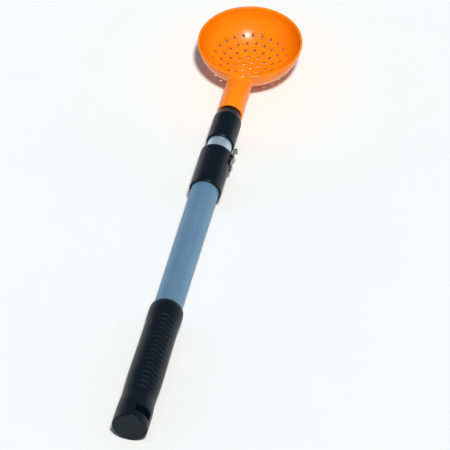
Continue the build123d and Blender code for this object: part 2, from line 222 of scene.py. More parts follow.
class Value:
    """A number socket. Arithmetic on it adds Math nodes to its finish."""

    def __init__(self, finish, socket):
        self.finish, self.socket = finish, socket

    def math(self, operation, *others):
        """A Math node with this number first."""
        return self.finish.node("ShaderNodeMath", {"operation": operation}, self, *others)

    def __add__(self, other):
        return self.math("ADD", other)

    __radd__ = __add__

    def __mul__(self, other):
        return self.math("MULTIPLY", other)

    __rmul__ = __mul__

    def __sub__(self, other):
        return self.math("SUBTRACT", other)

    def __rsub__(self, other):
        return self.finish.node("ShaderNodeMath", {"operation": "SUBTRACT"}, other, self)

    def above(self, low, high):
        """0 below low, 1 above high, smooth between."""
        return self.finish.node(
            "ShaderNodeMapRange", {"interpolation_type": "SMOOTHSTEP"}, self, low, high, 0.0, 1.0)


class Finish:
    """One material, built from expressions."""

    def __init__(self, name):
        self.material = bpy.data.materials.new(name)
        self.material.use_nodes = True
        self.tree = self.material.node_tree
        self.shader = self.tree.nodes["Principled BSDF"]
        self.place = self.node("ShaderNodeTexCoord", {}, out="Object")

    def node(self, kind, settings, *values, out=0, **named):
        """Adds a node: settings first, then values or links by input order and by input name."""
        node = self.tree.nodes.new(kind)
        for key, value in settings.items():
            setattr(node, key, value)
        for key, value in [*enumerate(values), *named.items()]:
            self.feed(node.inputs[key], value)
        return Value(self, node.outputs[out])

    def feed(self, socket, value):
        """Links a Value, or sets a plain number or colour."""
        if isinstance(value, Value):
            self.tree.links.new(value.socket, socket)
        elif value is not None:
            socket.default_value = value

    def stretched(self, x, y, z):
        """Object coordinates scaled along each axis, so that a pattern draws out along the pole."""
        return self.node("ShaderNodeMapping", {}, Vector=self.place, Scale=(x, y, z))

    def noise(self, scale, detail=2.0, roughness=0.5, vector=None):
        """Fractal noise from 0 to 1. The scale is in cells a metre."""
        return self.node(
            "ShaderNodeTexNoise", {}, Vector=vector or self.place, Scale=scale, Detail=detail,
            Roughness=roughness)

    def mix(self, amount, first, second):
        """Blend of two colours."""
        node = self.tree.nodes.new("ShaderNodeMix")
        node.data_type = "RGBA"
        for socket, value in (("Factor_Float", amount), ("A_Color", first), ("B_Color", second)):
            value = (*value, 1.0) if isinstance(value, tuple) else value
            self.feed(next(s for s in node.inputs if s.identifier == socket), value)
        return Value(self, next(s for s in node.outputs if s.identifier == "Result_Color"))

    def bump(self, height, distance, strength=1.0):
        """Surface normal raised by a height, in metres for a height of 1."""
        return self.node("ShaderNodeBump", {}, Strength=strength, Distance=distance, Height=height)

    def surface(self, **sockets):
        """Feeds the shader's own sockets, an underscore standing for a space."""
        for key, value in sockets.items():
            self.feed(self.shader.inputs[key.replace("_", " ")], value)
        return self.material


def orange_plastic(colours):
    """Glossy moulded plastic: faint flow clouds, fine orange peel and a few rubbed marks."""
    finish = Finish("orange_plastic_finish")
    clouds = finish.noise(38.0, 3.0)
    peel = finish.noise(1400.0, 2.0)
    rubbed = finish.noise(60.0, 5.0, 0.7, finish.stretched(1.0, 9.0, 4.0)).above(0.62, 0.74)
    scratches = finish.noise(55.0, 1.0, 0.4, finish.stretched(1.0, 22.0, 3.0)).above(0.70, 0.73)
    base = finish.mix(clouds.above(0.35, 0.7), tuple(colours.orange), tuple(colours.orange_deep))
    return finish.surface(
        Base_Color=finish.mix(rubbed * 0.10, base, (1.0, 0.42, 0.08)),
        Roughness=0.23 + 0.08 * clouds + 0.14 * rubbed + 0.2 * scratches,
        IOR=1.45, Specular_IOR_Level=0.3, Coat_Weight=0.1, Coat_Roughness=0.08,
        Normal=finish.bump(0.6 * peel + 0.5 * scratches, 0.012 * MM, 0.5))


def black_plastic(colours):
    """Satin moulded plastic: spark-eroded grain, and scuffs that run round and along."""
    finish = Finish("black_plastic_finish")
    grain = finish.noise(2600.0, 2.0, 0.6)
    patches = finish.noise(70.0, 4.0, 0.6)
    scuffs = finish.noise(120.0, 2.0, 0.5, finish.stretched(6.0, 1.0, 6.0)).above(0.66, 0.74)
    base = finish.mix(patches.above(0.4, 0.75) * 0.5, tuple(colours.black), (0.005, 0.009, 0.015))
    return finish.surface(
        Base_Color=finish.mix(scuffs * 0.35, base, (0.02, 0.025, 0.032)),
        Roughness=0.25 + 0.10 * patches + 0.12 * scuffs + 0.05 * grain,
        IOR=1.45, Specular_IOR_Level=0.28,
        Normal=finish.bump(grain, 0.015 * MM, 0.5))


def grip_rubber(colours):
    """Soft rubber: leathery grain, handling polish on the high parts and a little pale dust."""
    finish = Finish("grip_rubber_finish")
    cells = finish.node("ShaderNodeTexVoronoi", {"feature": "F1"}, Vector=finish.place, Scale=1500.0)
    grain = finish.noise(3200.0, 2.0, 0.6)
    polish = finish.noise(34.0, 3.0, 0.55)
    dust = finish.noise(420.0, 4.0, 0.7).above(0.62, 0.78)
    base = finish.mix(polish.above(0.35, 0.75), tuple(colours.rubber), (0.0028, 0.0078, 0.0130))
    return finish.surface(
        Base_Color=finish.mix(dust * 0.06, base, (0.12, 0.125, 0.12)),
        Roughness=0.46 - 0.14 * polish + 0.12 * dust,
        IOR=1.45, Specular_IOR_Level=0.22,
        Normal=finish.bump(0.7 * cells + 0.3 * grain, 0.02 * MM, 0.5))


def drawn_alloy(name, tint, roughness, wear, metallic):
    """Drawn aluminium: fine lines along the tube, cloudy anodising and a few long rubs."""
    finish = Finish(f"{name}_finish")
    lines = finish.noise(1.0, 3.0, 0.6, finish.stretched(1800.0, 14.0, 1800.0))
    broad = finish.noise(1.0, 2.0, 0.5, finish.stretched(260.0, 5.0, 260.0))
    rubs = finish.noise(1.0, 1.0, 0.4, finish.stretched(900.0, 22.0, 900.0)).above(0.71, 0.76)
    clouds = finish.noise(26.0, 4.0, 0.6)
    bare = tuple(min(1.0, 1.25 * c + 0.10) for c in tint)
    deep = tuple(0.86 * c for c in tint)
    base = finish.mix(clouds.above(0.3, 0.7) * 0.6, tint, deep)
    base = finish.mix(rubs * wear + 0.10 * lines, base, bare)
    return finish.surface(
        Base_Color=base, Metallic=metallic,
        Roughness=roughness + 0.10 * broad + 0.10 * lines - 0.06 * rubs,
        Normal=finish.bump(0.6 * lines + 0.4 * broad, 0.02 * MM, 0.5))


def dulled_steel(name, tint, roughness):
    """Worked steel: rolling lines, and stains that dull it in patches."""
    finish = Finish(f"{name}_finish")
    lines = finish.noise(1.0, 3.0, 0.6, finish.stretched(2600.0, 160.0, 2600.0))
    stains = finish.noise(330.0, 4.0, 0.65).above(0.42, 0.7)
    return finish.surface(
        Base_Color=finish.mix(stains * 0.5, tint, tuple(0.45 * c for c in tint)),
        Metallic=0.9, Roughness=roughness + 0.2 * stains + 0.08 * lines,
        Normal=finish.bump(0.6 * lines + 0.4 * stains, 0.02 * MM, 0.5))


def white_nylon(colours):
    """Natural nylon: faintly cloudy and waxy."""
    finish = Finish("white_nylon_finish")
    clouds = finish.noise(90.0, 3.0, 0.5)
    return finish.surface(
        Base_Color=finish.mix(clouds, tuple(colours.nylon), (0.7, 0.67, 0.57)),
        Roughness=0.42 + 0.12 * clouds, Normal=finish.bump(finish.noise(1500.0), 0.02 * MM, 0.4))


def finish_for(slot):
    """The finish of a slot, made once. The frame's own plain materials keep the bare names."""
    found = bpy.data.materials.get(f"{slot}_finish")
    if found:
        return found
    colours = bpy.context.scene.picker_colours
    makers = {
        "orange_plastic": lambda: orange_plastic(colours),
        "black_plastic": lambda: black_plastic(colours),
        "grip_rubber": lambda: grip_rubber(colours),
        # Outer tube: the blue in its colour is partly a painted reflection of a blue sky.
        "outer_alloy": lambda: drawn_alloy(slot, tuple(colours.outer_alloy), 0.42, 0.6, 0.5),
        # Inner tube: the blue in its colour is a painted reflection of a blue sky.
        "inner_alloy": lambda: drawn_alloy(slot, tuple(colours.inner_alloy), 0.36, 0.35, 0.8),
        "rivet_alloy": lambda: dulled_steel(slot, tuple(colours.bright_steel), 0.30),
        "lever_steel": lambda: dulled_steel(slot, tuple(colours.steel), 0.38),
        "pin_steel": lambda: dulled_steel(slot, tuple(colours.bright_steel), 0.26),
        "screw_steel": lambda: dulled_steel(slot, tuple(colours.bright_steel), 0.28),
        "white_nylon": lambda: white_nylon(colours),
    }
    return makers[slot]()


# ---------------------------------------------------------------- surfaces

def rounded(corners):
    """Outline through (radius, station, rounding) corners, as an (n, 2) array.

    A corner with a rounding becomes the arc that is tangent to both of its sides: its centre lies
    on the bisector, rounding / sin(half the corner's angle) from the corner. A short straight step
    stands beside each arc. The first and last corners have no rounding.
    """
    chain = np.array([corner[:2] for corner in corners], float)
    outline = [chain[:1]]
    for index in range(1, len(corners) - 1):
        corner, radius = chain[index], corners[index][2]
        if radius <= 0:
            outline.append(chain[index:index + 1])
            continue
        back, ahead = chain[index - 1] - corner, chain[index + 1] - corner
        back, ahead = back / np.linalg.norm(back), ahead / np.linalg.norm(ahead)
        half = math.acos(np.clip(back @ ahead, -1, 1)) / 2
        centre = corner + (back + ahead) / np.linalg.norm(back + ahead) * radius / math.sin(half)
        tangent = radius / math.tan(half)
        first, last = corner + back * tangent - centre, corner + ahead * tangent - centre
        sweep = math.pi - 2 * half
        share = np.linspace(0, 1, max(3, math.ceil(ROUND_STEPS * sweep / (math.pi / 2)) + 1))[:, None]
        arc = (np.sin((1 - share) * sweep) * first + np.sin(share * sweep) * last) / math.sin(sweep)
        outline += [
            centre + first[None] + back * SUPPORT, centre + arc, centre + last[None] + ahead * SUPPORT]
    return np.concatenate([*outline, chain[-1:]])


def quads(rows, columns, wrap_rows=False):
    """Four-sided faces between neighbours of a grid whose columns run round and close."""
    row = np.arange(rows if wrap_rows else rows - 1)[:, None]
    column = np.arange(columns)[None, :]
    below, beside = (row + 1) % rows * columns, (column + 1) % columns
    row = row * columns
    return np.stack(np.broadcast_arrays(row + column, row + beside, below + beside, below + column), -1)


def sheet(points, wrap_rows=False):
    """Points and faces of a grid of points, (rows, columns, 3), whose columns run round and close."""
    return points.reshape(-1, 3), quads(*points.shape[:2], wrap_rows).reshape(-1, 4).tolist()


def turned(axis, outline, columns, closed=True):
    """Surface of revolution: each (radius, station) of the outline carried round the axis.

    A closed outline makes a ring, and an open one starts and ends on the axis."""
    turn = np.linspace(0, 2 * np.pi, columns, endpoint=False)[None, :]
    return sheet(axis.point(outline[:, 1:2], outline[:, 0:1], turn), closed)


def tube_outline(inner, outer, start, end, rounding):
    """Closed half section of a tube with its cut edges rounded."""
    middle = (start + end) / 2
    return rounded([
        (outer, middle, 0), (outer, end, rounding), (inner, end, rounding), (inner, start, rounding),
        (outer, start, rounding), (outer, middle - SUPPORT, 0),
    ])


def pierced(points, edge_loops, distance):
    """Triangles over flat points, by Delaunay's rule, with the holes left open.

    The distance function is the distance from the nearest hole's edge. The holes are convex, so a
    triangle with all of its corners on an edge lies in a hole, and is dropped."""
    flat = np.concatenate([points, *edge_loops])
    edges, first = [], len(points)
    for loop in edge_loops:
        index = np.arange(len(loop))
        edges += np.stack([first + index, first + (index + 1) % len(loop)], -1).tolist()
        first += len(loop)
    scaled = flat / MM
    found, _, faces, *_ = delaunay_2d_cdt([Vector(p) for p in scaled], edges, [], 0, 1e-5)
    placed = np.array([tuple(p) for p in found]) * MM
    faces = np.array(faces)
    in_hole = (np.abs(distance(placed)) < ON_EDGE)[faces].all(1)
    return placed, faces[~in_hole]


def join(*parts):
    """One list of points and one of faces from several."""
    points, faces, first = [], [], 0
    for part_points, part_faces in parts:
        points.append(part_points)
        faces += [[first + k for k in face] for face in part_faces]
        first += len(part_points)
    return np.concatenate(points), faces


def add_piece(name, parts, slot, body, *nodes):
    """Makes a closed piece of points and faces, welds its seams and hangs it on its body."""
    points, faces = join(*parts)
    mesh = bpy.data.meshes.new(name)
    mesh.from_pydata(points.tolist(), [], faces)
    shape = bmesh.new()
    shape.from_mesh(mesh)
    bmesh.ops.remove_doubles(shape, verts=shape.verts, dist=WELD)
    bmesh.ops.dissolve_degenerate(shape, edges=shape.edges, dist=WELD)
    bmesh.ops.recalc_face_normals(shape, faces=shape.faces)
    open_edges = sum(not edge.is_manifold for edge in shape.edges)
    shape.to_mesh(mesh)
    shape.free()
    if open_edges:
        raise RuntimeError(f"{name} has {open_edges} edges that don't close")
    mesh.shade_smooth()
    mesh.materials.append(finish_for(slot))
    piece = bpy.data.objects.new(name, mesh)
    bpy.context.scene.collection.objects.link(piece)
    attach(piece, body)
    if nodes:
        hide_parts(*nodes)
    return piece


def keep_node(node, slot):
    """Gives a CAD node that stays its finish."""
    piece = frame["nodes"][node]
    piece.data.materials.clear()
    piece.data.materials.append(finish_for(slot))


def smooth(value):
    """0 to 1 with level ends: 3 t^2 - 2 t^3."""
    value = np.clip(value, 0, 1)
    return value * value * (3 - 2 * value)


def edge_drop(distance, rounding):
    """How far a surface has sunk at a distance from a rounded edge: a quarter circle."""
    distance = np.where(np.abs(distance) < ON_EDGE, 0, distance)
    inside = np.clip(rounding - distance, 0, rounding)
    return rounding - np.sqrt(rounding ** 2 - inside ** 2)


# ---------------------------------------------------------------- bowl

def drain_holes(sizes, socket_radius):
    """Centres of the drain holes in the bowl's own plane: rings about the middle, clear of the socket."""
    places = [np.zeros((1, 2))]
    outer_radius = sizes.mouth_radius + sizes.wall
    for ring in range(sizes.ring_count):
        radius = sizes.first_ring + ring * sizes.ring_pitch
        count = round(2 * math.pi * radius / sizes.hole_pitch)
        turn = 2 * math.pi * (np.arange(count) + (0.5 if ring % 3 == 1 else 0.0)) / count
        centres = radius * np.stack([np.sin(-turn), np.cos(turn)], -1)
        below_rim = rim_height * math.sqrt(1 - (radius / outer_radius) ** 2)
        if below_rim < 2 * socket_radius + MM:
            near = (centres[:, 1] < 0) & (np.abs(centres[:, 0]) < socket_radius + sizes.hole_radius + MM)
            centres = centres[~near]
        places.append(centres)
    return np.concatenate(places)


def bowl_height(radius, mouth_radius, depth):
    """Height of a half ellipsoid that hangs from the mouth, over a radius."""
    return rim_height - depth * np.sqrt(np.clip(1 - (radius / mouth_radius) ** 2, 0, 1))


class PICKER_OT_bowl(bpy.types.Operator):
    """Bowl: an ellipsoidal shell with a rounded lip, a foot pad and rings of drain holes"""
    bl_idname = "picker.bowl"
    bl_label = "Bowl"

    def execute(self, context):
        sizes = context.scene.picker_bowl
        outer_radius = sizes.mouth_radius + sizes.wall
        split = sizes.first_ring + (sizes.ring_count - 1) * sizes.ring_pitch + sizes.hole_radius + 2 * MM
        centres = drain_holes(sizes, socket_radius(context.scene))
        turn = np.linspace(0, 2 * np.pi, BOWL_COLUMNS, endpoint=False)

        def from_hole(points):
            """Distance of points from the nearest hole's edge, less than nothing inside it."""
            gaps = np.linalg.norm(points[:, None] - centres[None], axis=-1)
            return gaps.min(1) - sizes.hole_radius

        # Flat points: polar rings, closer together at the foot's edge, and loops round each hole
        foot = sizes.foot_radius + np.array((-0.3, -0.15, 0.0, 0.15, 0.4)) * MM
        ring_radii = np.arange(BOWL_SPACING, split - BOWL_SPACING / 2, BOWL_SPACING)
        ring_radii = ring_radii[np.abs(ring_radii[:, None] - foot[None]).min(1) > BOWL_SPACING / 2]
        rings = []
        for radius in (*ring_radii, *foot):
            count = max(6, round(2 * np.pi * radius / BOWL_SPACING))
            angle = np.linspace(0, 2 * np.pi, count, endpoint=False)
            rings.append(radius * np.stack([np.sin(angle), np.cos(angle)], -1))
        rings = np.concatenate(rings)
        rings = rings[from_hole(rings) > sizes.hole_round + 0.4 * MM]
        border = split * np.stack([np.sin(turn), np.cos(turn)], -1)
        arc = np.linspace(0, np.pi / 2, 5)
        offsets = [*(sizes.hole_round * (1 - np.cos(arc))), sizes.hole_round + 0.2 * MM]
        round_hole = np.linspace(0, 2 * np.pi, HOLE_COLUMNS, endpoint=False)
        circle = np.stack([np.cos(round_hole), np.sin(round_hole)], -1)
        loops = [centre + sizes.hole_radius * circle for centre in centres]
        halos = [
            centre + (sizes.hole_radius + offset) * circle for centre in centres for offset in offsets[1:]]
        flat, faces = pierced(np.concatenate([border, rings, *halos]), loops, from_hole)

        radius = np.linalg.norm(flat, axis=1)
        drop = edge_drop(from_hole(flat), sizes.hole_round)
        inside = bowl_height(radius, sizes.mouth_radius, sizes.depth) - drop
        foot_ramp = smooth((radius - foot[0]) / (foot[-1] - foot[0]))
        outside = bowl_height(radius, outer_radius, rim_height) * foot_ramp + drop
        upper = bowl.origin + np.column_stack([flat, inside])
        lower = bowl.origin + np.column_stack([flat, outside])

        # Straight walls of the holes
        walls = []
        for loop in loops:
            middle = np.linalg.norm(loop, axis=1)
            ramp = smooth((middle - foot[0]) / (foot[-1] - foot[0]))
            top = bowl_height(middle, sizes.mouth_radius, sizes.depth) - sizes.hole_round
            bottom = bowl_height(middle, outer_radius, rim_height) * ramp + sizes.hole_round
            rows = [np.column_stack([loop, top + share * (bottom - top)]) for share in (0.0, 0.5, 1.0)]
            walls.append(sheet(bowl.origin + np.stack(rows)))

        # From the last ring up the inside, over the lip and down the outside. The angles are the
        # ellipses' own, and both stop a little short of the mouth to leave room for the roundings.
        side_rows, inner_stop, outer_stop = 26, math.radians(88.9), math.radians(86.4)
        inner_angle = np.linspace(math.asin(split / sizes.mouth_radius), inner_stop, side_rows)
        outer_angle = np.linspace(outer_stop, math.asin(split / outer_radius), side_rows)
        up_inside = [
            (sizes.mouth_radius * math.sin(a), rim_height - sizes.depth * math.cos(a), 0)
            for a in inner_angle
        ]
        down_outside = [
            (outer_radius * math.sin(a), rim_height - rim_height * math.cos(a), 0) for a in outer_angle
        ]
        lip_radius = outer_radius + sizes.lip_width
        lip_under = rim_height - sizes.lip_height
        corners = [
            *up_inside,
            (sizes.mouth_radius, rim_height, sizes.lip_round * 0.9),
            (lip_radius, rim_height, sizes.lip_round),
            (lip_radius, lip_under, 0.35 * MM),
            (outer_radius - 0.04 * MM, lip_under, 0.2 * MM),
            *down_outside,
        ]
        side = rounded(corners)
        rim = turned(bowl, side, BOWL_COLUMNS, False)
        add_piece(
            "bowl_shell", [(upper, faces.tolist()), (lower, faces.tolist()), *walls, rim],
            "orange_plastic", "mast", "basket_bowl")
        return {"FINISHED"}


class PICKER_OT_socket(bpy.types.Operator):
    """Socket: a tube that leaves the bowl in a hollow rounding and ends in a rounded lip"""
    bl_idname = "picker.socket"
    bl_label = "Socket"

    def execute(self, context):
        sizes = context.scene.picker_bowl
        sunk_edge, sunk_cap = 0.35 * MM, 0.9 * MM
        bore = context.scene.picker_pole.nose_radius + FIT
        outer = socket_radius(context.scene)
        end = socket_end_station()
        turn = np.linspace(0, 2 * np.pi, POLE_COLUMNS, endpoint=False)

        def wall_station(radius, depth_in_wall):
            """Where the line at a radius and turn about the pole meets the bowl's wall: the larger
            root of (x / a)^2 + (y / a)^2 + (z / c)^2 = 1 along the line."""
            a = sizes.mouth_radius + sizes.wall - depth_in_wall
            c = rim_height - depth_in_wall
            scale = np.array((1 / a, 1 / a, 1 / c))
            middle = bowl.origin + np.array((0, 0, rim_height))
            start = (pole.point(np.zeros_like(turn), radius, turn) - middle) * scale
            along = pole.along * scale
            half_b, square = start @ along, along @ along
            root = half_b ** 2 - square * ((start ** 2).sum(-1) - 1)
            return (-half_b + np.sqrt(np.clip(root, 0, None))) / square

        # Hollow rounding: a curve of second degree from the bowl's wall to the socket's side
        blend = sizes.socket_blend
        on_bowl = (outer + blend, wall_station(outer + blend, sunk_edge))
        corner = (outer, wall_station(outer, 0.0))
        on_socket = (outer, corner[1] + blend)
        share = np.linspace(0, 1, 15)[:, None]
        weights = ((1 - share) ** 2, 2 * share * (1 - share), share ** 2)
        radius = sum(w * p[0] for w, p in zip(weights, (on_bowl, corner, on_socket))) + 0 * turn
        station = sum(w * p[1] for w, p in zip(weights, (on_bowl, corner, on_socket)))
        # Closed inside the bowl's wall, and down the bore from the open end
        shrink = np.linspace(0, 1, 7)[:-1, None] * (outer + blend)
        inside = np.stack([wall_station(float(r), sunk_cap) for r in shrink[:, 0]])
        tail = rounded([
            (outer, end - 12 * MM, 0), (outer, end, sizes.socket_round),
            (bore, end, sizes.socket_round), (bore, end - 12 * MM, 0),
        ])
        floor_station = reach("head_connector")[0] - 0.3 * MM
        rows = [
            (shrink + 0 * turn, inside), (radius, station),
            (tail[:, 0:1] + 0 * turn, tail[:, 1:2] + 0 * turn),
            (np.array([[bore], [bore / 2], [0.0]]) + 0 * turn, floor_station + np.zeros((3, 1)) + 0 * turn),
        ]
        radius = np.concatenate([row[0] for row in rows])
        station = np.concatenate([row[1] for row in rows])
        points = pole.point(station, radius, turn[None, :])
        # The rounding runs out level with the bowl's mouth: what stands over the level comes down
        # by soft * log(1 + exp(over / soft))
        level, soft = rim_height - 0.02 * MM, 0.25 * MM
        over = points[..., 2] - level
        points[..., 2] -= soft * np.logaddexp(0, over / soft)
        add_piece("bowl_socket", [sheet(points)], "orange_plastic", "mast")
        return {"FINISHED"}


def socket_radius(scene):
    """Outside radius of the socket: the nose, its fit and the socket's wall."""
    return scene.picker_pole.nose_radius + FIT + scene.picker_bowl.socket_wall


def socket_end_station():
    """Station of the socket's open end: the last point of the bowl's node along the pole."""
    return reach("basket_bowl")[1]


# ---------------------------------------------------------------- pole

class PICKER_OT_connector(bpy.types.Operator):
    """Connector: a nose in the bowl's socket, a taper and a sleeve with a rounded lower end"""
    bl_idname = "picker.connector"
    bl_label = "Connector"

    def execute(self, context):
        sizes = context.scene.picker_pole
        start, end, _, outer = reach("head_connector")
        shoulder = socket_end_station() + sizes.recess
        taper_end = shoulder + sizes.shoulder
        bore = reach("inner_tube")[3] + FIT
        head = taper_end + sizes.web
        outline = rounded([
            (0, start, 0), (sizes.nose_radius, start, 0.6 * MM), (sizes.nose_radius, shoulder, 0.15 * MM),
            (sizes.nose_radius + sizes.shoulder_step, shoulder, 0.45 * MM), (outer, taper_end, 9 * MM),
            (outer, end, sizes.end_round), (bore, end, 0.3 * MM), (bore, head, 0), (0, head, 0),
        ])
        add_piece(
            "connector_body", [turned(pole, outline, POLE_COLUMNS, False)], "black_plastic", "mast",
            "head_connector")
        return {"FINISHED"}


class PICKER_OT_tubes(bpy.types.Operator):
    """Tubes: the bright inner tube with its rolled groove, and the anodised outer tube"""
    bl_idname = "picker.tubes"
    bl_label = "Tubes"

    def execute(self, context):
        sizes = context.scene.picker_pole
        start, end, _, outer = reach("inner_tube")
        inner, round_edge, depth = outer - sizes.tube_wall, sizes.tube_round, sizes.groove_depth
        ring_start, ring_end = reach("tail_ring")[:2]
        play, roll = 0.3 * MM, 0.35 * MM
        groove_start, groove_end = ring_start - play, ring_end + play
        outline = rounded([
            (outer, (start + end) / 2, 0), (outer, groove_start, roll), (outer - depth, groove_start, roll),
            (outer - depth, groove_end, roll), (outer, groove_end, roll), (outer, end, round_edge),
            (inner, end, round_edge), (inner, groove_end + sizes.tube_wall, roll),
            (inner - depth, groove_end + sizes.tube_wall, roll),
            (inner - depth, groove_start - sizes.tube_wall, roll),
            (inner, groove_start - sizes.tube_wall, roll), (inner, start, round_edge),
            (outer, start, round_edge), (outer, (start + end) / 2 - SUPPORT, 0),
        ])
        add_piece("bright_tube", [turned(pole, outline, POLE_COLUMNS)], "inner_alloy", "mast", "inner_tube")
        start, end, _, outer = reach("outer_tube")
        outline = tube_outline(outer - sizes.tube_wall, outer, start, end, round_edge)
        add_piece("satin_tube", [turned(pole, outline, POLE_COLUMNS)], "outer_alloy", "handle", "outer_tube")
        return {"FINISHED"}


class PICKER_OT_lock(bpy.types.Operator):
    """Lock: the collar with its boss, the cam lever and its pin"""
    bl_idname = "picker.lock"
    bl_label = "Lock"

    def execute(self, context):
        keep_node("lock_collar", "black_plastic")
        keep_node("clamp_lever", "lever_steel")
        keep_node("lever_pin", "pin_steel")
        return {"FINISHED"}


class PICKER_OT_small_parts(bpy.types.Operator):
    """Small parts: the screw, the rivets, and the plugs, liner and ring inside the pole"""
    bl_idname = "picker.small_parts"
    bl_label = "Small parts"

    def execute(self, context):
        for node, slot in (
            ("socket_screw", "screw_steel"), ("connector_rivet", "rivet_alloy"),
            ("collar_rivet", "rivet_alloy"), ("guide_liner", "white_nylon"),
            ("tail_ring", "white_nylon"), ("tail_plug", "black_plastic"), ("tube_plug", "black_plastic"),
        ):
            keep_node(node, slot)
        return {"FINISHED"}


# ---------------------------------------------------------------- grip

def slot_loop(half_width, half_length, corner, offset):
    """Rounded rectangle at an offset outside the slot's edge, as points (across, along)."""
    turn = np.linspace(0, np.pi / 2, 6)
    run = np.linspace(0, 1, 9)[1:-1, None]
    quarters = []
    for quarter in range(4):
        centre = np.array(((half_width - corner) * (1, -1, -1, 1)[quarter],
                           (half_length - corner) * (1, 1, -1, -1)[quarter]))
        angle = turn + quarter * np.pi / 2
        quarters.append(centre + (corner + offset) * np.stack([np.cos(angle), np.sin(angle)], -1))
    pieces = []
    for quarter in range(4):
        here, ahead = quarters[quarter], quarters[(quarter + 1) % 4]
        pieces += [here, here[-1:] + run * (ahead[:1] - here[-1:])]
    return np.concatenate(pieces)


